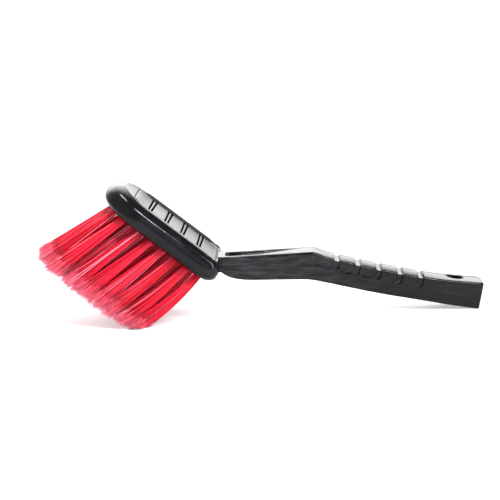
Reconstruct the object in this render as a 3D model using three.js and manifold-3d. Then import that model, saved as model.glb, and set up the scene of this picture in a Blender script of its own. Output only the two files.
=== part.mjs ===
import * as THREE from "three";
import { mergeVertices } from "three/addons/utils/BufferGeometryUtils.js";
import Module from "manifold-3d";

// Short-handled wheel brush, in millimetres, resting on the heel corner of its bristles and on the
// lower edge of its handle end. X runs along the handle, Y across it, Z up from the floor.

// The head's own frame: X along its top face towards the handle, Z square to that face.
const HEAD_TILT = THREE.MathUtils.degToRad(39.7);
const HEEL_X = -27.45;
const HEEL_Z = 28;
const MIDDLE_X = 6.88;

// Rubber bumper boot round the head.
const HEAD_HALF_WIDTH = 30;
const NOSE_CENTRE_X = -61;
const HEEL_CORNER_RADIUS = 9;
const NOSE_STEPS = 26;
const CORNER_STEPS = 4;
const BOOT_TOP = 15.3;
const BOOT_WALL = 5.4;
const HEEL_WALL = 4.6;
const LIP_INNER = 8.3;
const RIM_DEPTH = 2.6;
const NOSE_COVER_END_X = -73.5;
const FIT_GAP = 0.3;
const BOOT_LEVELS = [
  { z: 0, inset: 3.2, heel: 3.2 },
  { z: 0.7, inset: 1.7, heel: 1.2 },
  { z: 2.2, inset: 0.6, heel: -0.5 },
  { z: 4.4, inset: 0, heel: -1.3 },
  { z: 7.2, inset: 0, heel: -1.6 },
  { z: 9.7, inset: 0.45, heel: -1.15 },
  { z: 12, inset: 1.55, heel: 0 },
  { z: 13.9, inset: 3.1, heel: 1.6 },
  { z: 15, inset: 4.6, heel: 3.2 },
  { z: BOOT_TOP, inset: 6.2, heel: 4.9 },
];

// Bristle block, the part of the handle moulding inside the boot.
const BLOCK_UNDERSIDE = 0.6;
const PANEL_TOP = 14.3;
const PANEL_RAMP = 5;
const SLOT_PAIR_CENTRES = [-59.9, -46.7, -33.6, -20.2];
const SLOT_OFFSET = 1.3;
const SLOT_WIDTH = 1;
const SLOT_DEPTH = 2.5;

// Bridge through the heel of the boot, and the neck behind it.
const BRIDGE_HALF_WIDTH = 9.9;
const BRIDGE_UNDERSIDE = 5.6;
const NECK_START_X = -19.2;
const NECK_TOP_Z = 42.3;

// Thumb scoop sunk into the top of the neck.
const SCOOP_START_X = -16.9;
const SCOOP_END_X = 42;
const SCOOP_FLOOR_Z = 40.1;
const SCOOP_HALF_WIDTH = 5.2;

// Sections of the neck and grip: lower and upper points of each, its half width, how far its top is
// domed, and how far it is drawn in all round where the ends are rounded off.
const SECTIONS = [
  { bottom: [-19.2, 30.9], top: [-19.2, 42.2], half: 10.3, dome: 0.1, inset: 0.4 },
  { bottom: [-18.8, 30.6], top: [-18.8, 42.2], half: 10.3, dome: 0.1, inset: 0 },
  { bottom: [-15.6, 28.6], top: [-15.4, 42.2], half: 10.3, dome: 0.1, inset: 0 },
  { bottom: [-10.5, 26.8], top: [-10.2, 42.25], half: 10.3, dome: 0.1, inset: 0 },
  { bottom: [-4, 25.7], top: [-3.5, 42.35], half: 10.3, dome: 0.1, inset: 0 },
  { bottom: [3, 25.3], top: [4, 42.6], half: 10.3, dome: 0.1, inset: 0 },
  { bottom: [20, 24.95], top: [21.5, 42.95], half: 10.4, dome: 0.1, inset: 0 },
  { bottom: [36, 24.5], top: [38.5, 43.4], half: 10.6, dome: 0.15, inset: 0 },
  { bottom: [40.5, 24.1], top: [44.2, 43], half: 10.7, dome: 0.3, inset: 0 },
  { bottom: [44.4, 23.4], top: [48.4, 41.2], half: 10.8, dome: 0.8, inset: 0 },
  { bottom: [51.5, 21.7], top: [55.2, 38.65], half: 10.9, dome: 1.2, inset: 0 },
  { bottom: [64.6, 18.4], top: [68.6, 35.05], half: 11, dome: 1.5, inset: 0 },
  { bottom: [78.6, 14.9], top: [82.6, 31.25], half: 11.1, dome: 1.6, inset: 0 },
  { bottom: [92.4, 11.75], top: [96.4, 27.85], half: 11.1, dome: 1.6, inset: 0 },
  { bottom: [106, 9], top: [109.8, 24.85], half: 11.1, dome: 1.5, inset: 0 },
  { bottom: [119.6, 6.2], top: [122.8, 22.35], half: 11, dome: 1.3, inset: 0 },
  { bottom: [134, 3.2], top: [137, 20.35], half: 11, dome: 1.1, inset: 0 },
  { bottom: [149.4, 0.4], top: [152.6, 18.5], half: 10.9, dome: 1, inset: 0 },
  { bottom: [152, -0.12], top: [155.4, 18.15], half: 10.9, dome: 0.6, inset: 0.5 },
  { bottom: [153.2, -0.42], top: [156.9, 18], half: 10.9, dome: 0, inset: 2.2 },
];
const SIDE_DRAFT = 0.35;
const LOWER_EDGE_RADIUS = 1.5;
const UPPER_EDGE_RADIUS = 1.5;
const EDGE_STEPS = 3;
const DOME_SHARES = [0.75, 0.5, 0.25, 0, -0.25, -0.5, -0.75];

// Finger grooves over the grip.
const GROOVES = [
  { x: 58.6, z: 37.75, slope: 15.2 },
  { x: 72.6, z: 33.95, slope: 15.2 },
  { x: 86.7, z: 30.25, slope: 14.4 },
  { x: 100.8, z: 26.8, slope: 13.2 },
  { x: 114.6, z: 23.85, slope: 11.6 },
];
const GROOVE_WIDTH = 3.8;
const GROOVE_DEPTH = 1;
const GROOVE_DROP = 7;
const GRIP_HALF_WIDTH = 11.05;

// Hanging hole near the end of the grip.
const HANG_HOLE = { x: 137.2, z: 11.8, radius: 6.4, tilt: 8.5 };

// Bristle tufts: straight rows of holes across the block and one arc round the nose.
const ROW_PITCH = 9.6;
const FIRST_ROW_X = 8.3;
const OUTER_ROW_Y = 18.6;
const INNER_ROW_Y = 9.3;
const NOSE_ARC_RADIUS = 18.8;
const NOSE_ARC_ANGLES = [-62, -31, 0, 31, 62];
const TUFT_SIDES = 12;
const TUFT_ROOT_RADIUS = 2.3;
const TUFT_TOP = 7.6;
const TUFT_TIP = -56.8;
const TIP_LENGTH_SPREAD = 1.058;
const TIP_WIDTH_SPREAD = 1.36;
const TIP_LEAN = 13.9;
const HEEL_BOW = 0.9;
const BOW_LENGTH = 45;
const TUFT_SPANS = 4;
const TUFT_TIP_RADIUS = 4.43;
const HOLE_CLEARANCE = 0.3;

const wasm = await Module();
wasm.setup();

const handlePlastic = new THREE.MeshStandardMaterial({ color: 0x17171a, roughness: 0.3, metalness: 0 });
const bumperRubber = new THREE.MeshStandardMaterial({ color: 0x1e1e20, roughness: 0.45, metalness: 0 });
const bristleRed = new THREE.MeshStandardMaterial({ color: 0xd8142f, roughness: 0.5, metalness: 0 });

function solid(geometry) {
  const bare = geometry.clone();
  bare.deleteAttribute("normal");
  bare.deleteAttribute("uv");
  const merged = mergeVertices(bare, 1e-4);
  return new wasm.Manifold(
    new wasm.Mesh({
      numProp: 3,
      vertProperties: merged.attributes.position.array,
      triVerts: new Uint32Array(merged.index.array),
    }),
  );
}

function meshOf(name, body, material) {
  const shape = body.getMesh();
  const geometry = new THREE.BufferGeometry();
  geometry.setAttribute("position", new THREE.BufferAttribute(shape.vertProperties, 3));
  geometry.setIndex(new THREE.BufferAttribute(shape.triVerts, 1));
  geometry.computeVertexNormals();
  const mesh = new THREE.Mesh(geometry, material.clone());
  mesh.name = name;
  return mesh;
}

// A closed body through a row of rings that all hold the same number of points.
function loft(rings) {
  const count = rings[0].length;
  const points = rings.flat().flatMap((p) => [p.x, p.y, p.z]);
  const faces = [];
  for (let r = 0; r < rings.length - 1; r++) {
    for (let i = 0; i < count; i++) {
      const j = (i + 1) % count;
      const low = r * count;
      const high = low + count;
      faces.push(low + i, low + j, high + j, low + i, high + j, high + i);
    }
  }
  const last = (rings.length - 1) * count;
  for (let i = 1; i < count - 1; i++) {
    faces.push(0, i + 1, i);
    faces.push(last, last + i, last + i + 1);
  }
  const geometry = new THREE.BufferGeometry();
  geometry.setAttribute("position", new THREE.Float32BufferAttribute(points, 3));
  geometry.setIndex(faces);
  return geometry;
}

function box(x0, x1, halfY, z0, z1) {
  const geometry = new THREE.BoxGeometry(x1 - x0, 2 * halfY, z1 - z0);
  return geometry.translate((x0 + x1) / 2, 0, (z0 + z1) / 2);
}

// A flat outline in X and Z, thickened to both sides of the middle plane.
function sideProfile(outline, halfY) {
  const shape = new THREE.Shape(outline.map(([x, z]) => new THREE.Vector2(x, z)));
  const geometry = new THREE.ExtrudeGeometry(shape, { depth: 2 * halfY, bevelEnabled: false });
  return geometry.rotateX(Math.PI / 2).translate(0, halfY, 0);
}

function intoRestPose(geometry) {
  return geometry.rotateY(HEAD_TILT).translate(HEEL_X, 0, HEEL_Z);
}

function headPoint(x, z) {
  const p = new THREE.Vector3(x, 0, z).applyAxisAngle(new THREE.Vector3(0, 1, 0), HEAD_TILT);
  return [p.x + HEEL_X, p.z + HEEL_Z];
}

// Bullet-shaped outline of the head at one height: round nose, squarish heel.
function bulletRing(inset, z, heelInset = inset) {
  const half = HEAD_HALF_WIDTH - inset;
  const radius = Math.max(HEEL_CORNER_RADIUS - inset, 1.5);
  const ring = [];
  const arc = (cx, cy, r, from, to, steps) => {
    for (let i = 0; i <= steps; i++) {
      const angle = THREE.MathUtils.degToRad(from + ((to - from) * i) / steps);
      ring.push(new THREE.Vector3(cx + r * Math.cos(angle), cy + r * Math.sin(angle), z));
    }
  };
  arc(-heelInset - radius, -half + radius, radius, -90, 0, CORNER_STEPS);
  arc(-heelInset - radius, half - radius, radius, 0, 90, CORNER_STEPS);
  arc(NOSE_CENTRE_X, 0, half, 90, 270, NOSE_STEPS);
  return ring;
}

function bulletPrism(inset, heelInset, z0, z1) {
  return loft([bulletRing(inset, z0, heelInset), bulletRing(inset, z1, heelInset)]);
}

// Soft rubber boot: a bullnosed ring, closed over the nose, open over the panel and below.
function bumperBoot() {
  const outside = solid(loft(BOOT_LEVELS.map(({ z, inset, heel }) => bulletRing(inset, z, heel))));
  const cavity = solid(bulletPrism(BOOT_WALL, HEEL_WALL, -1, BOOT_TOP - RIM_DEPTH));
  const noseCover = solid(box(-100, NOSE_COVER_END_X, 40, 0, 30));
  const window = solid(bulletPrism(LIP_INNER, LIP_INNER, 2, 20)).subtract(noseCover);
  const notch = box(-LIP_INNER - 3, 2, BRIDGE_HALF_WIDTH + FIT_GAP, BRIDGE_UNDERSIDE - FIT_GAP, 20);
  const boot = outside.subtract(cavity).subtract(window).subtract(solid(notch));
  const mesh = meshOf("bumper_boot", boot, bumperRubber);
  intoRestPose(mesh.geometry);
  return mesh;
}

// Side outline of the panel: ramp behind the nose cover, then four pairs of slots across.
function panelOutline() {
  const start = NOSE_COVER_END_X + FIT_GAP;
  const outline = [
    [start, BLOCK_UNDERSIDE + 3],
    [0, BLOCK_UNDERSIDE + 3],
    [0, PANEL_TOP],
  ];
  const slots = SLOT_PAIR_CENTRES.flatMap((centre) => [centre - SLOT_OFFSET, centre + SLOT_OFFSET]);
  for (const centre of slots.reverse()) {
    outline.push([centre + SLOT_WIDTH / 2, PANEL_TOP]);
    outline.push([centre + SLOT_WIDTH / 2, PANEL_TOP - SLOT_DEPTH]);
    outline.push([centre - SLOT_WIDTH / 2, PANEL_TOP - SLOT_DEPTH]);
    outline.push([centre - SLOT_WIDTH / 2, PANEL_TOP]);
  }
  outline.push([start + PANEL_RAMP, PANEL_TOP]);
  outline.push([start, BOOT_TOP]);
  return outline;
}

// The block fills the boot under its rim, and the panel on it fills the boot's window.
function bristleBlock() {
  const shoulder = BOOT_TOP - RIM_DEPTH - FIT_GAP;
  const body = solid(bulletPrism(BOOT_WALL + FIT_GAP, HEEL_WALL + FIT_GAP, BLOCK_UNDERSIDE, shoulder));
  const windowFill = solid(bulletPrism(LIP_INNER + FIT_GAP, LIP_INNER + FIT_GAP, 2, 20));
  const panel = windowFill.intersect(solid(sideProfile(panelOutline(), 40)));
  return solid(intoRestPose(geometryOf(body.add(panel))));
}

function geometryOf(body) {
  return meshOf("body", body, handlePlastic).geometry;
}

// Narrow bridge that carries the block to the neck through the notch in the boot.
function bridge() {
  const outline = [
    headPoint(-14, BRIDGE_UNDERSIDE + 4),
    headPoint(-10, BRIDGE_UNDERSIDE),
    headPoint(-2, BRIDGE_UNDERSIDE),
    headPoint(1.5, BRIDGE_UNDERSIDE + 0.5),
    [NECK_START_X + 1, 30.9],
    [NECK_START_X + 3, NECK_TOP_Z - 0.3],
    headPoint(-7.6, PANEL_TOP),
    headPoint(-14, PANEL_TOP),
  ];
  return solid(sideProfile(outline, BRIDGE_HALF_WIDTH));
}

// One section of the handle: a rounded rectangle, widest at the parting line halfway up.
function sectionRing({ bottom, top, half, dome, inset }) {
  const up = new THREE.Vector2(top[0] - bottom[0], top[1] - bottom[1]);
  const height = up.length();
  up.normalize();
  const wide = half - inset;
  const corner = wide - SIDE_DRAFT;
  const ring = [];
  const place = (y, s) => {
    ring.push(new THREE.Vector3(bottom[0] + up.x * s, y, bottom[1] + up.y * s));
  };
  const arc = (cy, cs, r, from) => {
    for (let i = 0; i <= EDGE_STEPS; i++) {
      const angle = THREE.MathUtils.degToRad(from + (90 * i) / EDGE_STEPS);
      place(cy + r * Math.cos(angle), cs + r * Math.sin(angle));
    }
  };
  const low = inset * 0.25;
  const high = height - inset * 0.35;
  arc(corner - LOWER_EDGE_RADIUS, low + LOWER_EDGE_RADIUS, LOWER_EDGE_RADIUS, -90);
  place(wide, height / 2);
  arc(corner - UPPER_EDGE_RADIUS, high - UPPER_EDGE_RADIUS, UPPER_EDGE_RADIUS, 0);
  for (const share of DOME_SHARES) {
    place(share * (corner - UPPER_EDGE_RADIUS), high + dome * (1 - share * share));
  }
  arc(-corner + UPPER_EDGE_RADIUS, high - UPPER_EDGE_RADIUS, UPPER_EDGE_RADIUS, 90);
  place(-wide, height / 2);
  arc(-corner + LOWER_EDGE_RADIUS, low + LOWER_EDGE_RADIUS, LOWER_EDGE_RADIUS, 180);
  return ring;
}

function neckAndGrip() {
  return solid(loft(SECTIONS.map(sectionRing)));
}

// The scoop's floor rises from a steep front wall until it runs out at the bend.
function thumbScoop() {
  const shape = new THREE.Shape();
  shape.moveTo(SCOOP_START_X, NECK_TOP_Z + 5);
  shape.lineTo(SCOOP_START_X + 0.3, SCOOP_FLOOR_Z + 1);
  shape.quadraticCurveTo(SCOOP_START_X + 0.6, SCOOP_FLOOR_Z, SCOOP_START_X + 3, SCOOP_FLOOR_Z);
  shape.quadraticCurveTo(12, SCOOP_FLOOR_Z + 0.6, SCOOP_END_X, 43.5);
  shape.lineTo(SCOOP_END_X, NECK_TOP_Z + 5);
  const geometry = new THREE.ExtrudeGeometry(shape, {
    depth: 2 * SCOOP_HALF_WIDTH,
    bevelEnabled: false,
    curveSegments: 8,
  });
  return solid(geometry.rotateX(Math.PI / 2).translate(0, SCOOP_HALF_WIDTH, 0));
}

// One finger groove: a bar over the top and a round-ended slot down each side.
function fingerGroove({ x, z, slope }) {
  const half = GROOVE_WIDTH / 2;
  const slot = new THREE.Shape();
  slot.moveTo(half, 3);
  slot.lineTo(-half, 3);
  slot.lineTo(-half, half - GROOVE_DROP);
  slot.absarc(0, half - GROOVE_DROP, half, Math.PI, 2 * Math.PI, false);
  const sideSlot = new THREE.ExtrudeGeometry(slot, { depth: 4, bevelEnabled: false, curveSegments: 6 });
  const inside = GRIP_HALF_WIDTH - GROOVE_DEPTH;
  const left = sideSlot.clone().rotateX(Math.PI / 2).translate(0, inside + 4, 0);
  const right = sideSlot.rotateX(Math.PI / 2).translate(0, -inside, 0);
  const over = box(-half, half, 15, -GROOVE_DEPTH, 3);
  return [left, right, over].map((piece) => {
    return solid(piece.rotateY(THREE.MathUtils.degToRad(slope)).translate(x, 0, z));
  });
}

function hangHole() {
  const hole = new THREE.CylinderGeometry(HANG_HOLE.radius, HANG_HOLE.radius, 40, 32);
  hole.rotateX(Math.PI / 2);
  hole.rotateY(THREE.MathUtils.degToRad(HANG_HOLE.tilt));
  return solid(hole.translate(HANG_HOLE.x, 0, HANG_HOLE.z));
}

// Where each tuft leaves the block, as distance from the heel and distance from the middle.
function tuftPlaces() {
  const places = [];
  for (let i = 0; i < 7; i++) {
    places.push({ along: FIRST_ROW_X + i * ROW_PITCH, across: 0 });
  }
  for (const side of [-1, 1]) {
    for (let i = 0; i < 6; i++) {
      const along = FIRST_ROW_X + i * ROW_PITCH;
      places.push({ along, across: side * OUTER_ROW_Y });
      places.push({ along: along + ROW_PITCH / 2, across: side * INNER_ROW_Y });
    }
  }
  for (const degrees of NOSE_ARC_ANGLES) {
    const angle = THREE.MathUtils.degToRad(degrees);
    places.push({
      along: -NOSE_CENTRE_X + NOSE_ARC_RADIUS * Math.cos(angle),
      across: NOSE_ARC_RADIUS * Math.sin(angle),
    });
  }
  return places;
}

// A ring of the tuft that leaves the block at the given place, at one height in the head's frame.
// The tufts fan out and lean towards the nose from their holes to their tips, and those near the
// heel, which carry the brush, bow as they do so.
function tuftRing({ along, across }, z, extra) {
  const share = (BLOCK_UNDERSIDE - z) / (BLOCK_UNDERSIDE - TUFT_TIP);
  const grow = (TUFT_TOP - z) / (TUFT_TOP - TUFT_TIP);
  const lean = TIP_LEAN + along * (TIP_LENGTH_SPREAD - 1);
  const bow = HEEL_BOW * Math.max(0, 1 - along / BOW_LENGTH);
  const x = -along - lean * share * (1 - bow + bow * share);
  const y = across * (1 + (TIP_WIDTH_SPREAD - 1) * share);
  const rx = THREE.MathUtils.lerp(TUFT_ROOT_RADIUS, TUFT_TIP_RADIUS * TIP_LENGTH_SPREAD, grow) + extra;
  const ry = THREE.MathUtils.lerp(TUFT_ROOT_RADIUS, TUFT_TIP_RADIUS * TIP_WIDTH_SPREAD, grow) + extra;
  const ring = [];
  for (let i = 0; i < TUFT_SIDES; i++) {
    const angle = (2 * Math.PI * i) / TUFT_SIDES;
    ring.push(new THREE.Vector3(x + rx * Math.cos(angle), y + ry * Math.sin(angle), z));
  }
  return ring;
}

// Tufts long enough to reach below the floor end flat on it, as bent bristle tips do.
function tuft(place, index, underFloor) {
  const rings = [];
  for (let i = 0; i < TUFT_SPANS; i++) {
    rings.push(tuftRing(place, THREE.MathUtils.lerp(TUFT_TIP, BLOCK_UNDERSIDE, i / TUFT_SPANS), 0));
  }
  rings.push(tuftRing(place, BLOCK_UNDERSIDE, 0), tuftRing(place, TUFT_TOP, 0));
  const body = solid(intoRestPose(loft(rings))).subtract(underFloor);
  const number = String(index + 1).padStart(2, "0");
  return meshOf("tuft_" + number, body, bristleRed);
}

function tuftHole(place) {
  const bottom = BLOCK_UNDERSIDE - 2;
  const rings = [
    tuftRing(place, bottom, HOLE_CLEARANCE),
    tuftRing(place, TUFT_TOP + HOLE_CLEARANCE, HOLE_CLEARANCE),
  ];
  return solid(intoRestPose(loft(rings)));
}

function handle(places) {
  const blank = bristleBlock().add(bridge()).add(neckAndGrip());
  const cuts = [thumbScoop(), hangHole(), ...GROOVES.flatMap(fingerGroove), ...places.map(tuftHole)];
  const body = cuts.reduce((whole, cut) => whole.subtract(cut), blank);
  return meshOf("handle", body, handlePlastic);
}

function wheelBrush() {
  const brush = new THREE.Group();
  brush.name = "wheel_brush";
  const places = tuftPlaces();
  const underFloor = solid(box(-200, 200, 60, -40, 0));
  brush.add(handle(places));
  brush.add(bumperBoot());
  places.forEach((place, index) => brush.add(tuft(place, index, underFloor)));
  brush.position.x = -MIDDLE_X;
  return brush;
}

export default wheelBrush();
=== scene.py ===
from math import cos, pi, radians, sin

import bpy
import numpy as np
from mathutils import Matrix, Vector


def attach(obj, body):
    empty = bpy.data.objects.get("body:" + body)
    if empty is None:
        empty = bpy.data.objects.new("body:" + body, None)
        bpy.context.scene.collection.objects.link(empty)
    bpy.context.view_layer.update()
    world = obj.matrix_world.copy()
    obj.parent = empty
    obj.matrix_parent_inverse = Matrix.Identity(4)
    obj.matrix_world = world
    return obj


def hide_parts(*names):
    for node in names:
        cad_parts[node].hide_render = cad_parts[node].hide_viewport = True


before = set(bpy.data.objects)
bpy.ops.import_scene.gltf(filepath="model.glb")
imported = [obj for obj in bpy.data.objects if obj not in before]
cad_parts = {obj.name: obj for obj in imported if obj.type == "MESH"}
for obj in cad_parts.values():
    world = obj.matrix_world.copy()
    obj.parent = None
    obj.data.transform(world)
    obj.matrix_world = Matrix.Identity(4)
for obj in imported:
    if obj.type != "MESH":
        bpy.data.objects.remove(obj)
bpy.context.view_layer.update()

MM = 0.001
MIDDLE_X = 6.88
HEAD_TILT = radians(39.7)
HEEL = (-27.45, 28.0)

# Head, in millimetres in its own frame.
HALF_WIDTH = 30.0
NOSE_X = -61.0
HEEL_CORNER = 9.0
BOOT_TOP = 15.3
BOOT_WALL = 5.4
LIP_INNER = 8.3
COVER_END_X = -73.5
RIM_DEPTH = 2.6
GAP = 0.3
PANEL_TOP = 14.3
PANEL_RAMP = 12.0
BLOCK_UNDERSIDE = 0.6
BLOCK_TOP = 6.8
BLOCK_HEEL_INSET = 4.6
CHANNELS = (-59.9, -46.7, -33.6, -20.2)
SLOT_OFFSET = 1.3
SLOT_WIDTH = 1.4
SLOT_DEPTH = 7.0
SLOT_SPREAD = 0.25
BRIDGE_HALF = 9.9
TOP_CROWN = 0.8
HEEL_REACH = 1.6
BEAD_START = -69.0
BEAD_RISE = 0.3

# Tufts.
ROW_PITCH = 9.6
FIRST_ROW_X = 8.3
OUTER_ROW_Y = 18.6
INNER_ROW_Y = 9.3
NOSE_ARC_RADIUS = 18.8
NOSE_ARC_ANGLES = (-62, -31, 0, 31, 62)
TUFT_ROOT_RADIUS = 2.3
TUFT_TOP = 7.6
TUFT_TIP = -56.8
LENGTH_SPREAD = 1.058
WIDTH_SPREAD = 1.36
TIP_LEAN = 13.9
HEEL_BOW = 0.9
BOW_LENGTH = 45.0
TIP_RADIUS = 4.43


def smooth(edge0, edge1, value):
    t = np.clip((value - edge0) / (edge1 - edge0), 0.0, 1.0)
    return t * t * (3.0 - 2.0 * t)


def head_to_row(points):
    """Head-frame millimetres to row-frame metres."""
    p = np.asarray(points, float)
    c, s = cos(HEAD_TILT), sin(HEAD_TILT)
    x = p[..., 0] * c + p[..., 2] * s + HEEL[0] - MIDDLE_X
    z = -p[..., 0] * s + p[..., 2] * c + HEEL[1]
    return np.stack([x, p[..., 1], z], -1) * MM


def side_to_row(points):
    """Handle millimetres (X along, Z up) to row-frame metres."""
    p = np.array(points, float)
    p[..., 0] -= MIDDLE_X
    return p * MM


def mesh_object(name, verts, faces, smooth_shade=True):
    mesh = bpy.data.meshes.new(name)
    mesh.from_pydata([tuple(v) for v in verts], [], [tuple(f) for f in faces])
    mesh.validate()
    mesh.update()
    if smooth_shade:
        mesh.shade_smooth()
    piece = bpy.data.objects.new(name, mesh)
    bpy.context.scene.collection.objects.link(piece)
    return piece


def ring_faces(rows, cols, closed_rows=False):
    """Quads over a grid of rings; every ring is closed on itself."""
    faces = []
    last = rows if closed_rows else rows - 1
    for r in range(last):
        a, b = r * cols, ((r + 1) % rows) * cols
        for i in range(cols):
            j = (i + 1) % cols
            faces.append((a + i, a + j, b + j, b + i))
    return faces


def capped_faces(rows, cols):
    """Quads over a row of rings, and one face over each end ring."""
    n = rows * cols
    return ring_faces(rows, cols) + [tuple(range(cols - 1, -1, -1)), tuple(range(n - cols, n))]


def crown(y):
    """The head's top is slightly domed across its width."""
    return TOP_CROWN * np.maximum(0.0, 1 - (np.asarray(y) / 22.0) ** 2)


def give(piece, name, values):
    """Stores one number per vertex, for a material to read."""
    attribute = piece.data.attributes.new(name, "FLOAT", "POINT")
    attribute.data.foreach_set("value", np.asarray(values, np.float32))


def sharpen(piece, degrees=35):
    """Marks edges sharper than the angle, so that smooth shading stops at them."""
    piece.data.set_sharp_from_angle(angle=radians(degrees))


def cut(piece, cutter):
    """Subtracts cutter from piece and applies it."""
    modifier = piece.modifiers.new("cut", "BOOLEAN")
    modifier.operation = "DIFFERENCE"
    modifier.solver = "EXACT"
    modifier.object = cutter
    graph = bpy.context.evaluated_depsgraph_get()
    made = bpy.data.meshes.new_from_object(piece.evaluated_get(graph))
    piece.modifiers.remove(modifier)
    old = piece.data
    piece.data = made
    bpy.data.meshes.remove(old)
    bpy.data.objects.remove(cutter)


def monotone(xs, ys, at):
    """Smooth curve through points, without overshoot."""
    h = np.diff(xs)
    d = np.diff(ys) / h
    m = np.zeros(len(xs))
    m[0], m[-1] = d[0], d[-1]
    for i in range(1, len(xs) - 1):
        if d[i - 1] * d[i] > 0:
            w1, w2 = 2 * h[i] + h[i - 1], h[i] + 2 * h[i - 1]
            m[i] = (w1 + w2) / (w1 / d[i - 1] + w2 / d[i])
    k = np.clip(np.searchsorted(xs, at) - 1, 0, len(xs) - 2)
    t = (at - xs[k]) / h[k]
    return (
        ys[k] * (1 + 2 * t) * (1 - t) ** 2
        + m[k] * h[k] * t * (1 - t) ** 2
        + ys[k + 1] * t * t * (3 - 2 * t)
        + m[k + 1] * h[k] * t * t * (t - 1)
    )


def centre_way(rows):
    """Distance along the middle line, at each row of bottom and top points."""
    middle = (rows[:, 0:2] + rows[:, 2:4]) / 2
    return np.concatenate([[0], np.cumsum(np.hypot(*np.diff(middle, axis=0).T))])


def mirrored_ring(y, rise, foot, up):
    """Whole ring from half an outline, rising from the foot along the up direction."""
    y = np.concatenate([y, -y[-2:0:-1]])
    rise = np.concatenate([rise, rise[-2:0:-1]])
    return np.stack([foot[0] + up[0] * rise, y, foot[1] + up[1] * rise], -1)


# ---------------------------------------------------------------- handle

# bottom x, bottom z, top x, top z, half width, rise of the domed top
SECTIONS = np.array([
    (-19.2, 30.9, -19.2, 42.2, 10.3, 0.1),
    (-15.6, 28.6, -15.4, 42.2, 10.3, 0.1),
    (-10.5, 26.8, -10.2, 42.25, 10.3, 0.1),
    (-4.0, 25.7, -3.5, 42.35, 10.3, 0.1),
    (3.0, 25.3, 4.0, 42.6, 10.3, 0.1),
    (20.0, 24.95, 21.5, 42.95, 10.4, 0.1),
    (33.5, 24.6, 36.5, 43.35, 10.55, 0.15),
    (39.2, 24.3, 42.4, 43.5, 10.65, 0.2),
    (42.2, 23.85, 45.6, 42.5, 10.75, 0.5),
    (45.6, 23.15, 49.4, 40.75, 10.8, 0.9),
    (51.5, 21.7, 55.2, 38.65, 10.9, 1.25),
    (64.6, 18.4, 68.6, 35.05, 11.0, 1.5),
    (78.6, 14.9, 82.6, 31.25, 11.1, 1.6),
    (92.4, 11.75, 96.4, 27.85, 11.1, 1.6),
    (106.0, 9.0, 109.8, 24.85, 11.1, 1.5),
    (119.6, 6.2, 122.8, 22.35, 11.0, 1.1),
    (134.0, 3.2, 137.0, 20.2, 11.0, 0.7),
    (149.4, 0.35, 152.6, 18.25, 10.9, 0.6),
    (153.2, -0.3, 156.9, 17.75, 10.9, 0.5),
])
GROOVE_TOPS = (58.6, 72.6, 86.7, 100.8, 114.6)
GROOVE_WIDTH = 3.8
GROOVE_DEPTH = 1.05
GROOVE_DROP = 7.0
REST_DEPTH = 0.6
REST_DROP = 8.0
REST_CORNER = 2.6
REST_MARGIN = 3.2
EDGE_RADIUS = 1.5
FOOT_RADIUS = 1.5
SIDE_DRAFT = 0.35
BEND_X = 43.0
END_ROUNDING = 2.0
ROOT_ROUNDING = 0.5
SCOOP_START = 2.3
SCOOP_DEPTH = 2.7
SCOOP_HALF_WIDTH = 6.2
SCOOP_CORNER = 2.5
FLAT_SHARES = (0, .08, .16, .24, .30, .34, .38, .42, .46, .50, .54, .58, .63, .70, .80, .90, 1.0)


def section_outline(half, height, corner, foot, draft, dome):
    """Half outline from the middle of the top down to the middle of the bottom: (y, s, ny, ns)."""
    tilt = 0.0
    for _ in range(4):
        flat = half - draft - corner * (1 - sin(tilt))
        tilt = float(np.arctan(2 * dome / flat))
    out = []
    for f in FLAT_SHARES:
        out.append((flat * f, height + dome * (1 - f * f), 0.0, 1.0))
    cy, cs = flat - corner * sin(tilt), height - corner * cos(tilt)
    for k in range(1, 9):
        a = (pi / 2 - tilt) * (1 - k / 8)
        out.append((cy + corner * cos(a), cs + corner * sin(a), cos(a), sin(a)))
    mid = height / 2
    for k in range(1, 15):
        t = k / 14
        out.append((half - draft + draft * t, cs + (mid - cs) * t, 1.0, 0.0))
    for k in range(1, 9):
        t = k / 9
        out.append((half - draft * t, mid + (foot - mid) * t, 1.0, 0.0))
    for k in range(7):
        a = radians(-90 * k / 6)
        out.append((half - draft - foot + foot * cos(a), foot + foot * sin(a), cos(a), sin(a)))
    for f in (.8, .55, .3, 0):
        out.append(((half - draft - foot) * f, 0.0, 0.0, -1.0))
    return np.array(out)


def even(start, stop, step):
    """Evenly spaced stations, rounded so that repeats fall together."""
    return set(np.round(np.arange(start, stop, step), 3).tolist())


def grip_stations(total, bend, centres, rests):
    """Distances along the grip at which it gets a ring, closer together where its shape changes."""
    stations = even(0, total, 1.6)
    for c in centres:
        stations |= even(c - 3.2, c + 3.2, 0.28)
    stations |= even(SCOOP_START - 1.0, SCOOP_START + 4.5, 0.3)
    stations |= even(bend - 8, bend + 9, 0.7)
    for a, b in rests:
        for edge in (a, b):
            stations |= even(edge - 0.8, edge + 0.8, 0.2)
    for k in range(9):
        turn = sin(radians(90 * k / 8))
        stations.add(round(total - END_ROUNDING + END_ROUNDING * turn, 3))
        stations.add(round(ROOT_ROUNDING - ROOT_ROUNDING * turn, 3))
    stations = sorted(s for s in stations if 0 <= s <= total)
    kept = [stations[0]]
    for s in stations[1:]:
        if s - kept[-1] > 0.05 or s == stations[-1]:
            kept.append(s)
    return np.array(kept)


def end_inset(s, total):
    """How far the outline draws in where the two ends are rounded over."""
    inset = 0.0
    if s > total - END_ROUNDING:
        inset = END_ROUNDING - np.sqrt(max(0.0, END_ROUNDING ** 2 - (s - total + END_ROUNDING) ** 2))
    if s < ROOT_ROUNDING:
        inset = ROOT_ROUNDING - np.sqrt(max(0.0, ROOT_ROUNDING ** 2 - (ROOT_ROUNDING - s) ** 2))
    return inset


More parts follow.
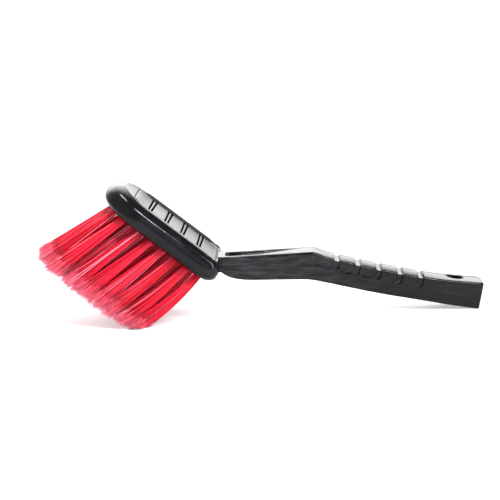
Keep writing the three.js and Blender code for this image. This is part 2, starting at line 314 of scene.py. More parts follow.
def groove_share(s, drop, centres):
    """1 inside a finger groove, 0 outside it. The groove ends in a half circle on the side."""
    share = np.zeros_like(drop)
    straight = GROOVE_DROP - GROOVE_WIDTH / 2
    for c in centres:
        dist = np.hypot(s - c, np.maximum(drop - straight, 0.0)) - GROOVE_WIDTH / 2
        share += smooth(0.3, -0.45, dist)
    return share


def rest_share(s, drop, rests):
    """Depth share of the dished finger rests, deepest at the first one."""
    share = np.zeros_like(drop)
    for k, (a, b) in enumerate(rests):
        qx = np.maximum(np.maximum(a + REST_CORNER - s, s - b + REST_CORNER), 0.0)
        qz = np.maximum(drop - (REST_DROP - REST_CORNER), 0.0)
        inside = np.minimum(REST_CORNER - np.hypot(qx, qz), drop - EDGE_RADIUS * 0.9)
        fade = max(0.15, 1.0 - 0.28 * k) * (1 - 0.5 * smooth(0.0, 9.0, s - a))
        share += smooth(-0.1, 0.7, inside) * fade
    return share


def scoop_depth(along, y, length):
    """Depth of the thumb scoop, which runs out towards the bend."""
    depth = SCOOP_DEPTH * (1 - np.clip(along / length, 0, 1)) ** 1.1
    qx = np.maximum(SCOOP_CORNER - along, 0.0)
    qy = np.maximum(np.abs(y) - (SCOOP_HALF_WIDTH - SCOOP_CORNER), 0.0)
    inside = SCOOP_CORNER - np.hypot(qx, qy)
    if along < 0:
        inside = np.minimum(inside, along)
    return depth * smooth(-0.1, 1.2, inside)


def grip_piece():
    """Grip and neck in one skin: rings across a bent bar, with grooves, rests and scoop pressed in."""
    way = centre_way(SECTIONS)
    total = way[-1]
    centres = [float(np.interp(x, SECTIONS[:, 2], way)) for x in GROOVE_TOPS]
    bend = float(np.interp(BEND_X, SECTIONS[:, 2], way))
    rests = [(bend + 1.0, centres[0] - REST_MARGIN)]
    rests += [(a + 3.0, b - REST_MARGIN) for a, b in zip(centres, centres[1:])]
    at = grip_stations(total, bend, centres, rests)
    bx, bz, tx, tz, half, dome = (monotone(way, SECTIONS[:, i], at) for i in range(6))
    rings, seam = [], []
    for i, s in enumerate(at):
        height = float(np.hypot(tx[i] - bx[i], tz[i] - bz[i]))
        up = np.array([tx[i] - bx[i], tz[i] - bz[i]]) / height
        line = section_outline(float(half[i]), height, EDGE_RADIUS, FOOT_RADIUS, SIDE_DRAFT, float(dome[i]))
        y, rise, ny, nz = line.T
        middle = (np.abs(rise - height / 2) < 0.01).astype(float)
        inset = end_inset(s, total)
        y = np.minimum(y - ny * inset, half[i] - inset)
        rise = rise - nz * inset * np.where(nz > 0, 0.8, 0.2)
        drop = height - rise
        groove = groove_share(s, drop, centres)
        rest = rest_share(s, drop, rests)
        y = y - ny * (GROOVE_DEPTH * groove + REST_DEPTH * rest * (nz < 0.05) * (1 - groove))
        rise = rise - nz * GROOVE_DEPTH * groove * (nz > 0) - np.maximum(rise - height, 0.0) * groove
        along = s - SCOOP_START
        if -1.5 < along and s < bend + 2:
            rise = rise - scoop_depth(along, y, bend - 1.0 - SCOOP_START) * (nz > 0.95)
        seam.append(np.concatenate([middle, middle[-2:0:-1]]))
        rings.append(mirrored_ring(y, rise, (bx[i], bz[i]), up))
    rings = np.array(rings)
    rows, cols = rings.shape[:2]
    faces = ring_faces(rows, cols)
    verts = np.vstack([rings.reshape(-1, 3), rings[0].mean(0), rings[-1].mean(0)])
    n = rows * cols
    for i in range(cols):
        j = (i + 1) % cols
        faces.append((n, j, i))
        faces.append((n + 1, n - cols + i, n - cols + j))
    piece = mesh_object("grip", side_to_row(verts), faces)
    give(piece, "seam", np.concatenate([np.ravel(seam), [0.0, 0.0]]))
    piece.data.flip_normals()
    hang_hole(piece)
    sharpen(piece, 40)
    return piece


HOLE_X = 137.2
HOLE_Z = 11.8
HOLE_RADIUS = 5.4
HOLE_LIP = 1.6
HOLE_REACH = 9.3
HOLE_TILT = radians(8.5)
HOLE_STEPS = 72


def hang_hole(piece):
    """Cuts the hanging hole with a cutter whose mouths are rounded over."""
    r, lip, reach = HOLE_RADIUS, HOLE_LIP, HOLE_REACH
    upper = [(r + 6, reach + 5), (r + lip, reach + 1.0)]
    for k in range(7):
        a = radians(90 * k / 6)
        upper.append((r + lip - lip * sin(a), reach - lip + lip * cos(a)))
    profile = upper + [(radius, -height) for radius, height in reversed(upper)]
    verts = []
    c, t = cos(HOLE_TILT), sin(HOLE_TILT)
    for radius, height in profile:
        for i in range(HOLE_STEPS):
            a = 2 * pi * i / HOLE_STEPS
            x, y = radius * cos(a), radius * sin(a)
            verts.append((HOLE_X + x * c + height * t, y, HOLE_Z - x * t + height * c))
    cutter = mesh_object("hole_cutter", side_to_row(verts), capped_faces(len(profile), HOLE_STEPS))
    cutter.data.flip_normals()
    cut(piece, cutter)


def bridge_piece():
    """The short bar that joins the neck to the head, through the boot's heel."""
    def head(x, z):
        p = head_to_row((x, 0, z)) / MM
        return (p[0] + MIDDLE_X, p[2])

    rows = np.array([
        (*head(-15, 9.5), *head(-16.5, 13.9)),
        (*head(-12, 7.5), *head(-12.2, 14.05)),
        (*head(-9, 5.9), *head(-7.8, 14.25)),
        (*head(-4, 5.8), -22.4, 42.9),
        (*head(1.2, 6.2), -20.6, 42.3),
        (-18.4, 31.2, -18.2, 42.1),
    ])
    way = centre_way(rows)
    at = np.linspace(0, way[-1], 36)
    bx, bz, tx, tz = (monotone(way, rows[:, i], at) for i in range(4))
    rings = []
    for i in range(len(at)):
        height = float(np.hypot(tx[i] - bx[i], tz[i] - bz[i]))
        up = np.array([tx[i] - bx[i], tz[i] - bz[i]]) / height
        y, rise = section_outline(BRIDGE_HALF, height, 1.2, 1.0, 0.1, 0.0).T[:2]
        rings.append(mirrored_ring(y, rise, (bx[i], bz[i]), up))
    rings = np.array(rings)
    piece = mesh_object("bridge", side_to_row(rings.reshape(-1, 3)), capped_faces(*rings.shape[:2]))
    piece.data.flip_normals()
    sharpen(piece, 50)
    return piece


# ---------------------------------------------------------------- head

def outline(inset, heel_inset=None, nose_steps=96, corner_steps=14, side_steps=40):
    """Bullet outline as (x, y) points, the same number for every inset."""
    heel = inset if heel_inset is None else heel_inset
    half = HALF_WIDTH - inset
    r = max(HEEL_CORNER - inset, 1.5)
    pts = []

    def arc(cx, cy, rad, a0, a1, steps):
        for k in range(steps + 1):
            a = radians(a0 + (a1 - a0) * k / steps)
            pts.append((cx + rad * cos(a), cy + rad * sin(a)))

    def line(p, q, steps):
        for k in range(1, steps):
            t = k / steps
            pts.append((p[0] + (q[0] - p[0]) * t, p[1] + (q[1] - p[1]) * t))

    arc(-heel - r, -half + r, r, -90, 0, corner_steps)
    line((-heel, -half + r), (-heel, half - r), 20)
    arc(-heel - r, half - r, r, 0, 90, corner_steps)
    line((-heel - r, half), (NOSE_X, half), side_steps)
    arc(NOSE_X, 0, half, 90, 270, nose_steps)
    line((NOSE_X, -half), (-heel - r, -half), side_steps)
    return np.array(pts)


# Inset and height of the boot's outer skin, from its lower inner edge up to the start of its flat top.
BOOT_SECTION_OUTER = [
    (5.4, 0.25), (5.0, 0.05), (4.2, 0.0), (3.3, 0.02), (2.6, 0.25), (1.9, 0.75), (1.3, 1.3),
    (0.8, 2.0), (0.4, 2.8), (0.15, 3.7), (0.02, 4.7), (0.0, 5.8), (0.03, 7.0), (0.18, 8.2),
    (0.48, 9.4), (0.92, 10.5), (1.5, 11.55), (2.2, 12.45), (3.0, 13.2), (3.9, 13.85),
    (4.9, 14.4), (5.8, 14.78), (6.35, 14.95), (6.6, 15.03),
]
# Inset, and how much the shoulder is raised there over the nose.
NOSE_LIFT = (
    (0, 0.48, 0.92, 1.5, 2.2, 3.0, 3.9, 4.9, 5.8, 6.35, 6.6),
    (0, -0.3, -0.45, -0.55, -0.55, -0.5, -0.4, -0.2, 0, 0.12, 0.27),
)


def boot_piece():
    """A ring swept round the head; over the nose its top runs in to the cover's straight edge."""
    base = outline(0)
    count = len(base)
    # inner end of the top surface, as inset, for each outline point
    inner = np.full(count, LIP_INNER)
    for i, (x, y) in enumerate(base):
        if x < NOSE_X:
            a = abs(np.arctan2(y, NOSE_X - x))
            if cos(a) > 1e-3:
                reach = (NOSE_X - COVER_END_X) / cos(a)
                if reach < HALF_WIDTH - LIP_INNER:
                    inner[i] = HALF_WIDTH - reach
    section = [("fixed", d, z) for d, z in BOOT_SECTION_OUTER]
    section += [("top", k / 9, BOOT_TOP) for k in range(1, 9)]
    window = ((-0.25, 0.02), (-0.08, 0.1), (0.0, 0.3), (0.0, 0.9), (0.0, 1.8), (0.0, RIM_DEPTH))
    section += [("in", inset, BOOT_TOP - below) for inset, below in window]
    section += [("under", 0.5, BOOT_TOP - RIM_DEPTH), ("wall", 0.0, BOOT_TOP - RIM_DEPTH)]
    section += [("wall", 0.0, z) for z in (9.0, 5.0, 2.0, 0.6)]
    cache = {}
    # Share of painted pale sheen at each point, on the bead's top edge.
    edge = []

    def at_inset(d, heel):
        key = (round(float(d), 5), round(float(heel), 5))
        if key not in cache:
            cache[key] = outline(*key)
        return cache[key]

    rows = []
    for kind, a, z in section:
        pts = np.zeros((count, 3))
        for i in range(count):
            if kind == "fixed":
                d = a
            elif kind == "top":
                d = 6.6 + (inner[i] - 0.25 - 6.6) * a
                z = 15.03 + (BOOT_TOP - 15.03) * min(1.0, (d - 6.6) / 0.7)
            elif kind == "in":
                d = inner[i] + a
            elif kind == "under":
                d = inner[i] + (BOOT_WALL - inner[i]) * a
            else:
                d = BOOT_WALL
            heel_inset = d
            if kind == "fixed":
                heel_inset = d - HEEL_REACH * (1 - 0.95 * float(smooth(4.6, 0.0, z)))
            if kind == "top":
                heel_inset = d - HEEL_REACH * (1 - float(smooth(6.6, 8.0, d)))
            x, y = at_inset(d, heel_inset)[i]
            lift = 0.0
            if kind == "top" or (kind == "in" and z > BOOT_TOP - 0.5):
                lift = float(crown(y)) if x < COVER_END_X + 0.5 else 0.0
            heel = float(smooth(-14.5, -9.5, x))
            bead = float(smooth(BEAD_START, BEAD_START + 3.0, x)) * (1 - heel)
            nose = float(smooth(-66.0, -74.0, x))
            if kind == "fixed" and z > 7.0:
                lift += nose * float(np.interp(d, *NOSE_LIFT))
            if kind == "top":
                lift += nose * (BOOT_TOP - z)
            if z > BOOT_TOP - 0.5:
                lift += BEAD_RISE * bead * float(smooth(5.7, 6.7, d))
                lift += heel * (float(crown(y)) - 0.95) * float(smooth(4.0, 7.2, d))
            pts[i] = (x, y, z + lift)
            # Painted sheen on the bead's edge, full on the near side and weaker on the far side.
            sheen_by_side = 1.0 if y < 0 else 0.3
            edge.append(sheen_by_side * bead * float(smooth(5.9, 6.4, d)) * float(z > BOOT_TOP - 0.95))
        rows.append(pts)
    rings = np.array(rows)
    faces = ring_faces(len(rings), count, closed_rows=True)
    piece = mesh_object("bumper", head_to_row(rings.reshape(-1, 3)), faces)
    give(piece, "edge", edge)
    piece.data.flip_normals()
    notch = rounded_box(-LIP_INNER - 3.0, 3.0, BRIDGE_HALF + GAP, 5.3, 21.0, 1.3)
    cut(piece, notch)
    sharpen(piece, 40)
    return piece


def rounded_box(x0, x1, half_y, z0, z1, r):
    """Box along X with rounded lower long edges, in the head's frame."""
    loop = [(-half_y, z1)]
    for k in range(7):
        a = radians(180 + 90 * k / 6)
        loop.append((-half_y + r + r * cos(a), z0 + r + r * sin(a)))
    for k in range(7):
        a = radians(270 + 90 * k / 6)
        loop.append((half_y - r + r * cos(a), z0 + r + r * sin(a)))
    loop.append((half_y, z1))
    verts = [(x0, y, z) for y, z in loop] + [(x1, y, z) for y, z in loop]
    piece = mesh_object("cutter", head_to_row(verts), capped_faces(2, len(loop)), False)
    piece.data.flip_normals()
    return piece


# Beside a slot: place from its wall, and how far the edge is worn down there.
SLOT_EDGE = ((-0.25, 0.0), (-0.08, 0.01), (0.0, 0.05))
PANEL_EDGE = (0.965, 0.98, 0.992)
PANEL_LOW = 3.0
PANEL_WAIST = 10.5


def slot_stations(centre, side):
    """Stations over one slot: its worn near edge, its walls and bottom, and its worn far edge."""
    w = SLOT_WIDTH / 2
    steps = [(dx - w, 0, down) for dx, down in SLOT_EDGE] + [(-w, 1, 0.0), (w, 1, 0.0)]
    steps += [(w - dx, 0, down) for dx, down in reversed(SLOT_EDGE)]
    return [(centre + dx + order * 1e-4, deep, side, down) for order, (dx, deep, down) in enumerate(steps)]


def panel_stations(start, end):
    """(x, in a slot or not, side of the pair, worn down) of each ring along the panel."""
    slots = [(c + side * SLOT_OFFSET, side) for c in CHANNELS for side in (-1, 1)]
    stations = [(start, 0, 0, 0.35), (start + 0.04, 0, 0, 0.12), (start + 0.15, 0, 0, 0.0), (end, 0, 0, 0.0)]
    for x in np.arange(start, end, 0.9):
        if all(abs(x - centre) > 0.75 for centre, _ in slots):
            stations.append((x, 0, 0, 0.0))
    for centre, side in slots:
        stations += slot_stations(centre, side)
    stations.sort()
    kept = [stations[0]]
    for v in stations[1:]:
        if v[0] - kept[-1][0] > 1e-5:
            kept.append(v)
    return kept


def panel_piece():
    """The raised panel in the boot's window. Narrow deep slots run across it in pairs."""
    half = HALF_WIDTH - LIP_INNER - GAP
    start = COVER_END_X + GAP
    across = [-v for v in PANEL_EDGE] + list(PANEL_EDGE)
    across = sorted(set(np.round(np.concatenate([np.linspace(-1, 1, 41), across]), 4)))
    rows = []
    for x, deep, side, down in panel_stations(start, -LIP_INNER - 0.03):
        wide = half
        if x < NOSE_X:
            wide = float(np.sqrt(half ** 2 - (x - NOSE_X) ** 2))
        between = any(abs(x - c) < SLOT_OFFSET for c in CHANNELS)
        ramp = float(1 - smooth(0.0, PANEL_RAMP, x - start))
        spread = side * SLOT_SPREAD / half
        ring = []
        for v in across:
            y = v * wide
            z = PANEL_TOP + float(crown(y)) + (BOOT_TOP - PANEL_TOP) * ramp - down
            z -= 0.3 * float(smooth(wide - 0.5, wide, abs(y))) + 0.12 * between
            ring.append((x + spread * y, y, z - SLOT_DEPTH * deep))
        waist = PANEL_WAIST - 4.0 * deep
        for y, z in ((wide, waist), (wide, PANEL_LOW), (0, PANEL_LOW), (-wide, PANEL_LOW), (-wide, waist)):
            ring.append((x + spread * y, y, z))
        rows.append(ring)
    rings = np.array(rows)
    piece = mesh_object("panel", head_to_row(rings.reshape(-1, 3)), capped_faces(*rings.shape[:2]))
    piece.data.flip_normals()
    sharpen(piece, 50)
    return piece


def block_piece():
    """The bristle block under the boot's rim."""
    rows = []
    low = BLOCK_UNDERSIDE
    for extra, z in ((0.5, low), (0.12, low + 0.12), (0, low + 0.5), (0, 4), (0, BLOCK_TOP)):
        pts = outline(BOOT_WALL + GAP + extra, BLOCK_HEEL_INSET + GAP + extra)
        rows.append(np.column_stack([pts, np.full(len(pts), z)]))
    rings = np.array(rows)
    piece = mesh_object("bristle_block", head_to_row(rings.reshape(-1, 3)), capped_faces(*rings.shape[:2]))
    sharpen(piece, 40)
    return piece


# ---------------------------------------------------------------- bristles

def tuft_places():
    """(along, across) of each hole, in the same order as the CAD tufts."""
    places = [(FIRST_ROW_X + i * ROW_PITCH, 0.0) for i in range(7)]
    for side in (-1, 1):
        for i in range(6):
            along = FIRST_ROW_X + i * ROW_PITCH
            places.append((along, side * OUTER_ROW_Y))
            places.append((along + ROW_PITCH / 2, side * INNER_ROW_Y))
    for degrees in NOSE_ARC_ANGLES:
        a = radians(degrees)
        places.append((-NOSE_X + NOSE_ARC_RADIUS * cos(a), NOSE_ARC_RADIUS * sin(a)))
    return places


FILAMENTS = 90
FILAMENT_RADIUS = 0.27
PATH_STEPS = 9
HAIRS = 5
HAIR_STEPS = 4
FLAG_LENGTH = 11.0


def tube(path, radii, sides, spin):
    """Vertices of a thin tube along a path, ring by ring."""
    tangent = np.gradient(path, axis=0)
    tangent /= np.linalg.norm(tangent, axis=1)[:, None]
    side = np.cross(tangent, np.array([0.0, 1.0, 0.02]))
    side /= np.linalg.norm(side, axis=1)[:, None]
    other = np.cross(tangent, side)
    angles = spin + np.arange(sides) * 2 * pi / sides
    ring = (
        np.cos(angles)[None, :, None] * side[:, None, :]
        + np.sin(angles)[None, :, None] * other[:, None, :]
    ) * np.asarray(radii)[:, None, None]
    return (path[:, None, :] + ring).reshape(-1, 3)


def tuft_piece(number, place, rng):
    """One tuft: filaments that spread from the hole, and split into finer hairs at the tips."""
    along, across = place
    lean = TIP_LEAN + along * (LENGTH_SPREAD - 1)
    bow = HEEL_BOW * max(0.0, 1 - along / BOW_LENGTH)
    span = BLOCK_UNDERSIDE - TUFT_TIP
    verts, faces, shade, tip = [], [], [], []
    total = 0

    def add(path, radii, sides, tone, tips):
        nonlocal total
        v = tube(path, radii, sides, rng.uniform(0, pi))
        rings = len(path)
        verts.append(v)
        for f in capped_faces(rings, sides):
            faces.append(tuple(total + k for k in f))
        shade.extend([tone] * (rings * sides))
        tip.extend(np.repeat(tips, sides).tolist())
        total += rings * sides

    for _ in range(FILAMENTS):
        rr = np.sqrt(rng.uniform(0, 1))
        ang = rng.uniform(0, 2 * pi)
        ox, oy = rr * cos(ang), rr * sin(ang)
        tx = ox * 1.45 + rng.normal(0, 0.14)
        ty = oy * 1.45 + rng.normal(0, 0.14)
        length = rng.uniform(-1.1, 1.1)
        wob = rng.normal(0, 0.12, 2)
        tone = rng.uniform(0, 1)
        z_tip = TUFT_TIP + length + 1.2 * max(0.0, 1 - along / 30)

        def point(z):
            share = (BLOCK_UNDERSIDE - z) / span
            grow = (TUFT_TOP - z) / (TUFT_TOP - TUFT_TIP)
            g = np.clip(grow, 0, 1)
            x = -along - lean * share * (1 - bow + bow * share)
            y = across * (1 + (WIDTH_SPREAD - 1) * share)
            rx = TUFT_ROOT_RADIUS * 0.8 + (TIP_RADIUS * LENGTH_SPREAD - TUFT_ROOT_RADIUS) * g
            ry = TUFT_ROOT_RADIUS * 0.8 + (TIP_RADIUS * WIDTH_SPREAD - TUFT_ROOT_RADIUS) * g
            px = ox + (tx - ox) * g
            py = oy + (ty - oy) * g
            bulge = np.sin(pi * g)
            return np.stack([x - px * rx + wob[0] * bulge, y + py * ry + wob[1] * bulge, z], -1)

        z_flag = z_tip + FLAG_LENGTH * rng.uniform(0.75, 1.15)
        zs = BLOCK_UNDERSIDE + 0.6 + (z_flag - BLOCK_UNDERSIDE - 0.6) * np.linspace(0, 1, PATH_STEPS)
        path = point(zs)
        add(path, np.full(PATH_STEPS, FILAMENT_RADIUS), 5, tone, np.linspace(0, 0.55, PATH_STEPS))
        base = path[-1]
        heading = point(np.array([z_flag, z_tip]))
        direction = heading[1] - heading[0]
        for k in range(HAIRS):
            spread = rng.normal(0, 0.95, 2)
            t = np.linspace(0, 1, HAIR_STEPS)
            reach = rng.uniform(0.92, 1.12)
            hair = base + direction * (t * reach)[:, None]
            hair[:, 0] += spread[0] * t ** 1.3 + (rng.uniform(-1, 1) * 0.1)
            hair[:, 1] += spread[1] * t ** 1.3 + (rng.uniform(-1, 1) * 0.1)
            radii = FILAMENT_RADIUS * (0.62 - 0.3 * t)
            add(hair, radii, 3, tone, 0.55 + 0.45 * t)

    points = head_to_row(np.vstack(verts))
    # Tips that would pass through the floor lie on it, bent outwards.
    ground = 0.00015 + np.array(shade) * 0.0012
    low = points[:, 2] < ground
    points[:, 0] -= np.where(low, (ground - points[:, 2]) * 0.35, 0)
    points[:, 2] = np.where(low, ground, points[:, 2])
    piece = mesh_object(f"bristles_{number:02d}", points, faces)
    give(piece, "tone", shade)
    give(piece, "tip", tip)
    return piece


# ---------------------------------------------------------------- materials

BLACK_IOR = 1.27
BRISTLE_IOR = 1.46

def node_material(name):
    material = bpy.data.materials.new(name)
    material.use_nodes = True
    tree = material.node_tree
    return material, tree, tree.nodes["Principled BSDF"]


def object_coordinates(tree):
    return tree.nodes.new("ShaderNodeTexCoord").outputs["Object"]


def attribute(tree, name):
    """The number that give() stored on each vertex."""
    node = tree.nodes.new("ShaderNodeAttribute")
    node.attribute_name = name
    return node.outputs["Fac"]


def noise(tree, scale, detail=4.0, rough=0.55, stretch=None):
    coords = object_coordinates(tree)
    if stretch:
        mapping = tree.nodes.new("ShaderNodeMapping")
        mapping.inputs["Scale"].default_value = stretch
        tree.links.new(coords, mapping.inputs["Vector"])
        coords = mapping.outputs["Vector"]
    n = tree.nodes.new("ShaderNodeTexNoise")
    n.inputs["Scale"].default_value = scale
    n.inputs["Detail"].default_value = detail
    n.inputs["Roughness"].default_value = rough
    tree.links.new(coords, n.inputs["Vector"])
    return n.outputs["Fac"]


def remap(tree, value, low, high, to_low, to_high):
    m = tree.nodes.new("ShaderNodeMapRange")
    limits = {"From Min": low, "From Max": high, "To Min": to_low, "To Max": to_high}
    for socket, number in limits.items():
        m.inputs[socket].default_value = number
    tree.links.new(value, m.inputs["Value"])
    return m.outputs["Result"]


def bump(tree, value, strength, distance, before=None):
    b = tree.nodes.new("ShaderNodeBump")
    b.inputs["Strength"].default_value = strength
    b.inputs["Distance"].default_value = distance
    tree.links.new(value, b.inputs["Height"])
    if before is not None:
        tree.links.new(before, b.inputs["Normal"])
    return b.outputs["Normal"]


def mix_colour(tree, factor, a, b):
    m = tree.nodes.new("ShaderNodeMix")
    m.data_type = "RGBA"
    if hasattr(factor, "links"):
        tree.links.new(factor, m.inputs["Factor"])
    else:
        m.inputs["Factor"].default_value = factor
    for socket, colour in ((m.inputs["A"], a), (m.inputs["B"], b)):
        if hasattr(colour, "links"):
            tree.links.new(colour, socket)
        else:
            socket.default_value = (*colour, 1.0)
    return m.outputs["Result"]


def combine(tree, a, b, operation="ADD"):
    """One number from two, kept between 0 and 1."""
    m = tree.nodes.new("ShaderNodeMath")
    m.operation = operation
    m.use_clamp = True
    tree.links.new(a, m.inputs[0])
    tree.links.new(b, m.inputs[1])
    return m.outputs["Value"]


def handle_plastic():
    """Black plastic: fine mottling and scuffs, a little dustier at the neck, a faint parting line."""
    material, tree, shader = node_material("handle_plastic")
    scuffs = remap(tree, noise(tree, 60, 6, 0.62, (1.0, 6.0, 6.0)), 0.56, 0.72, 0.0, 1.0)
    cloudy = remap(tree, noise(tree, 35, 3), 0.35, 0.7, 0.0, 0.05)
    rough = combine(tree, remap(tree, scuffs, 0, 1, 0.12, 0.3), cloudy)
    tree.links.new(rough, shader.inputs["Roughness"])
    mottle = remap(tree, noise(tree, 230, 5, 0.6, (0.4, 1.0, 2.2)), 0.38, 0.68, 0.0, 1.0)
    parts = tree.nodes.new("ShaderNodeSeparateXYZ")
    tree.links.new(object_coordinates(tree), parts.inputs[0])
    neck = remap(tree, parts.outputs["X"], 0.01, 0.09, 1.0, 0.12)
    dust = combine(tree, mottle, neck, "MULTIPLY")
    colour = mix_colour(tree, scuffs, (0.0026, 0.0018, 0.0019), (0.0065, 0.0055, 0.0055))
    colour = mix_colour(tree, dust, colour, (0.027, 0.026, 0.029))
    broken = remap(tree, noise(tree, 45, 3, 0.6, (1.0, 0.2, 0.2)), 0.42, 0.62, 0.0, 1.0)
    line = combine(tree, attribute(tree, "seam"), broken, "MULTIPLY")
    grip = remap(tree, parts.outputs["X"], 0.03, 0.07, 0.0, 0.6)
    line = combine(tree, line, grip, "MULTIPLY")
    colour = mix_colour(tree, line, colour, (0.03, 0.017, 0.013))
    tree.links.new(colour, shader.inputs["Base Color"])
    normal = bump(tree, noise(tree, 900, 2), 0.15, 0.00012)
    normal = bump(tree, noise(tree, 110, 4), 0.16, 0.0006, normal)
    tree.links.new(normal, shader.inputs["Normal"])
    shader.inputs["IOR"].default_value = BLACK_IOR
    return material


def bumper_rubber():
    """Shiny black rubber with a fine ripple, and a painted pale sheen along the edge of the bead."""
    material, tree, shader = node_material("bumper_rubber")
    cloudy = noise(tree, 55, 4)
    rough = remap(tree, cloudy, 0.4, 0.75, 0.09, 0.2)
    patches = remap(tree, cloudy, 0.4, 0.7, 0, 1)
    colour = mix_colour(tree, patches, (0.0042, 0.004, 0.0045), (0.008, 0.0077, 0.0085))
    # Painted sheen: the edge number lays a pale colour along the bead's edge, standing in for its grazing
    # sheen; the roughness it adds is real.
    worn = attribute(tree, "edge")
    colour = mix_colour(tree, worn, colour, (0.2, 0.165, 0.145))
    rough = combine(tree, rough, remap(tree, worn, 0, 1, 0, 0.3))
    tree.links.new(rough, shader.inputs["Roughness"])
    tree.links.new(colour, shader.inputs["Base Color"])
    normal = bump(tree, noise(tree, 520, 4), 0.2, 0.00018)
    normal = bump(tree, noise(tree, 120, 3), 0.14, 0.0006, normal)
    tree.links.new(normal, shader.inputs["Normal"])
    shader.inputs["IOR"].default_value = BLACK_IOR
    return material


def bristle_red():
    """Red filaments, each of its own tone and a few of them painted with a pale pink sheen, paler still at
    their split tips.
    """
    material, tree, shader = node_material("bristle_red")
    tone = attribute(tree, "tone")
    body = mix_colour(tree, remap(tree, tone, 0.0, 0.85, 0, 1), (0.52, 0.0008, 0.007), (0.96, 0.016, 0.054))
    # The highest tones get a painted pale pink sheen, standing in for glints on a few filaments.
    body = mix_colour(tree, remap(tree, tone, 0.86, 0.94, 0, 0.8), body, (0.98, 0.3, 0.42))
    streak = remap(tree, noise(tree, 260, 2), 0.5, 0.75, 0.0, 0.25)
    body = mix_colour(tree, streak, body, (0.95, 0.035, 0.09))
    pale = remap(tree, attribute(tree, "tip"), 0.5, 1.0, 0.0, 0.75)
    colour = mix_colour(tree, pale, body, (1.0, 0.27, 0.38))
    tree.links.new(colour, shader.inputs["Base Color"])
    rough = remap(tree, tone, 0, 1, 0.24, 0.42)
    tree.links.new(rough, shader.inputs["Roughness"])
    shader.inputs["IOR"].default_value = BRISTLE_IOR
    return material


# ---------------------------------------------------------------- build

plastic = handle_plastic()
rubber = bumper_rubber()
red = bristle_red()

handle_parts = [grip_piece(), bridge_piece(), panel_piece(), block_piece()]
for piece in handle_parts:
    piece.data.materials.append(plastic)
    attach(piece, "root")
    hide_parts("handle")

bumper = boot_piece()
bumper.data.materials.append(rubber)
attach(bumper, "root")
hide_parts("bumper_boot")

rng = np.random.default_rng(7)
for index, place in enumerate(tuft_places()):
    piece = tuft_piece(index + 1, place, rng)
    piece.data.materials.append(red)
    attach(piece, "root")
    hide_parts(f"tuft_{index + 1:02d}")


# ---------------------------------------------------------------- stage, light, camera

FLOOR_WHITE = 0.62
FLOOR_GLOW = 0.42


def floor():
    corners = [(-20, -6, 0), (20, -6, 0), (20, 40, 0), (-20, 40, 0)]
    piece = mesh_object("floor", corners, [(0, 1, 2, 3)])
    material, tree, shader = node_material("floor_white")
    shader.inputs["Base Color"].default_value = (FLOOR_WHITE, FLOOR_WHITE, FLOOR_WHITE, 1)
    shader.inputs["Roughness"].default_value = 0.8
    shader.inputs["Specular IOR Level"].default_value = 0.1
    shader.inputs["Emission Color"].default_value = (1, 1, 1, 1)
    shader.inputs["Emission Strength"].default_value = FLOOR_GLOW
    piece.data.materials.append(material)


floor()

# The studio: a bright wall behind the brush, a dim room round it, and a pale band below the horizon.
world = bpy.data.worlds.new("studio")
bpy.context.scene.world = world
world.use_nodes = True
tree = world.node_tree
background = tree.nodes["Background"]
direction = tree.nodes.new("ShaderNodeTexCoord").outputs["Generated"]
parts = tree.nodes.new("ShaderNodeSeparateXYZ")
tree.links.new(direction, parts.inputs[0])
toward_x, toward_y, toward_z = parts.outputs
behind = remap(tree, toward_y, 0.35, 0.75, 0.0, 1.0)
behind = combine(tree, behind, remap(tree, toward_x, 0.28, 0.45, 1.0, 0.0), "MULTIPLY")
behind = combine(tree, behind, remap(tree, toward_x, -0.75, -0.5, 0.0, 1.0), "MULTIPLY")
wall = mix_colour(tree, remap(tree, toward_z, 0.05, 0.22, 0.0, 1.0), (0.5, 0.5, 0.5), (3.9, 3.9, 3.9))
wall = mix_colour(tree, remap(tree, toward_z, 0.25, 0.5, 0.0, 1.0), wall, (6.6, 6.6, 6.6))
room = mix_colour(tree, remap(tree, toward_x, -0.6, 0.1, 0.0, 1.0), (0.6, 0.57, 0.56), (0.08, 0.08, 0.085))
room = mix_colour(tree, remap(tree, toward_z, 0.0, 0.3, 1.0, 0.0), room, (0.55, 0.6, 0.68))
sky = mix_colour(tree, behind, room, wall)
above = remap(tree, toward_z, 0.02, 0.03, 0.0, 1.0)
sky = mix_colour(tree, above, (1.05, 1.05, 1.05), sky)
tree.links.new(sky, background.inputs["Color"])


HEAD_CENTRE = Vector((-0.06, 0.0, 0.06))


def from_front(azimuth, elevation, distance):
    """A place seen from the head, azimuth turned from the front towards +X."""
    a, e = radians(azimuth), radians(elevation)
    return HEAD_CENTRE + distance * Vector((sin(a) * cos(e), -cos(a) * cos(e), sin(e)))


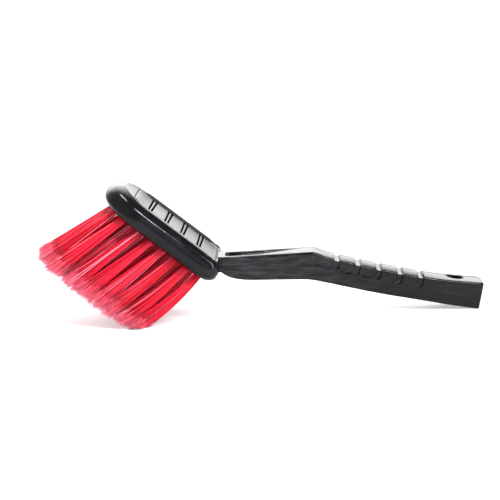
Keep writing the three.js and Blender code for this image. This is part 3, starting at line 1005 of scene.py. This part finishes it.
def strip_light(name, start, end, distance, width, power, colour):
    """A narrow softbox between two directions."""
    a, b = from_front(*start, distance), from_front(*end, distance)
    middle = (a + b) / 2
    light = bpy.data.lights.new(name, "AREA")
    light.shape = "RECTANGLE"
    light.size, light.size_y = (b - a).length, width
    light.energy = power
    light.color = colour
    thing = bpy.data.objects.new(name, light)
    bpy.context.scene.collection.objects.link(thing)
    x = (b - a).normalized()
    z = middle - HEAD_CENTRE
    z = (z - x * z.dot(x)).normalized()
    y = z.cross(x)
    thing.matrix_world = Matrix((
        (x.x, y.x, z.x, middle.x), (x.y, y.y, z.y, middle.y), (x.z, y.z, z.z, middle.z), (0, 0, 0, 1),
    ))


strip_light("key", (36.5, 34), (15, 61), 1.0, 0.045, 12, (0.9, 0.96, 1.0))
strip_light("fill", (10, 8), (30, 26), 1.1, 0.3, 0.7, (0.62, 0.8, 1.0))
strip_light("top", (-140, 68), (-10, 86), 0.9, 0.03, 4.5, (1.0, 0.9, 0.88))
strip_light("side", (66, 3), (74, 42), 1.1, 0.12, 9.0, (0.85, 0.93, 1.0))

# The camera looks at a point above the floor, slightly down, slightly turned and slightly rolled.
ELEVATION, AZIMUTH, ROLL = radians(12), radians(2), radians(2.6)
SENSOR_WIDTH = 36.0
LENS = 82.8
CAMERA_DISTANCE = 782.0
AIM_HEIGHT = 44.44

forward = np.array([-sin(AZIMUTH) * cos(ELEVATION), cos(AZIMUTH) * cos(ELEVATION), -sin(ELEVATION)])
right = np.array([cos(AZIMUTH), sin(AZIMUTH), 0.0])
up = np.cross(right, forward)
right, up = cos(ROLL) * right - sin(ROLL) * up, sin(ROLL) * right + cos(ROLL) * up
spot = (np.array([-MIDDLE_X, 0.0, AIM_HEIGHT]) - forward * CAMERA_DISTANCE) * MM
camera_data = bpy.data.cameras.new("camera")
camera_data.sensor_width = SENSOR_WIDTH
camera_data.lens = LENS
camera = bpy.data.objects.new("camera", camera_data)
bpy.context.scene.collection.objects.link(camera)
camera.matrix_world = Matrix((
    (right[0], up[0], -forward[0], spot[0]),
    (right[1], up[1], -forward[1], spot[1]),
    (right[2], up[2], -forward[2], spot[2]),
    (0, 0, 0, 1),
))
bpy.context.scene.camera = camera
bpy.context.scene.view_settings.view_transform = "Standard"
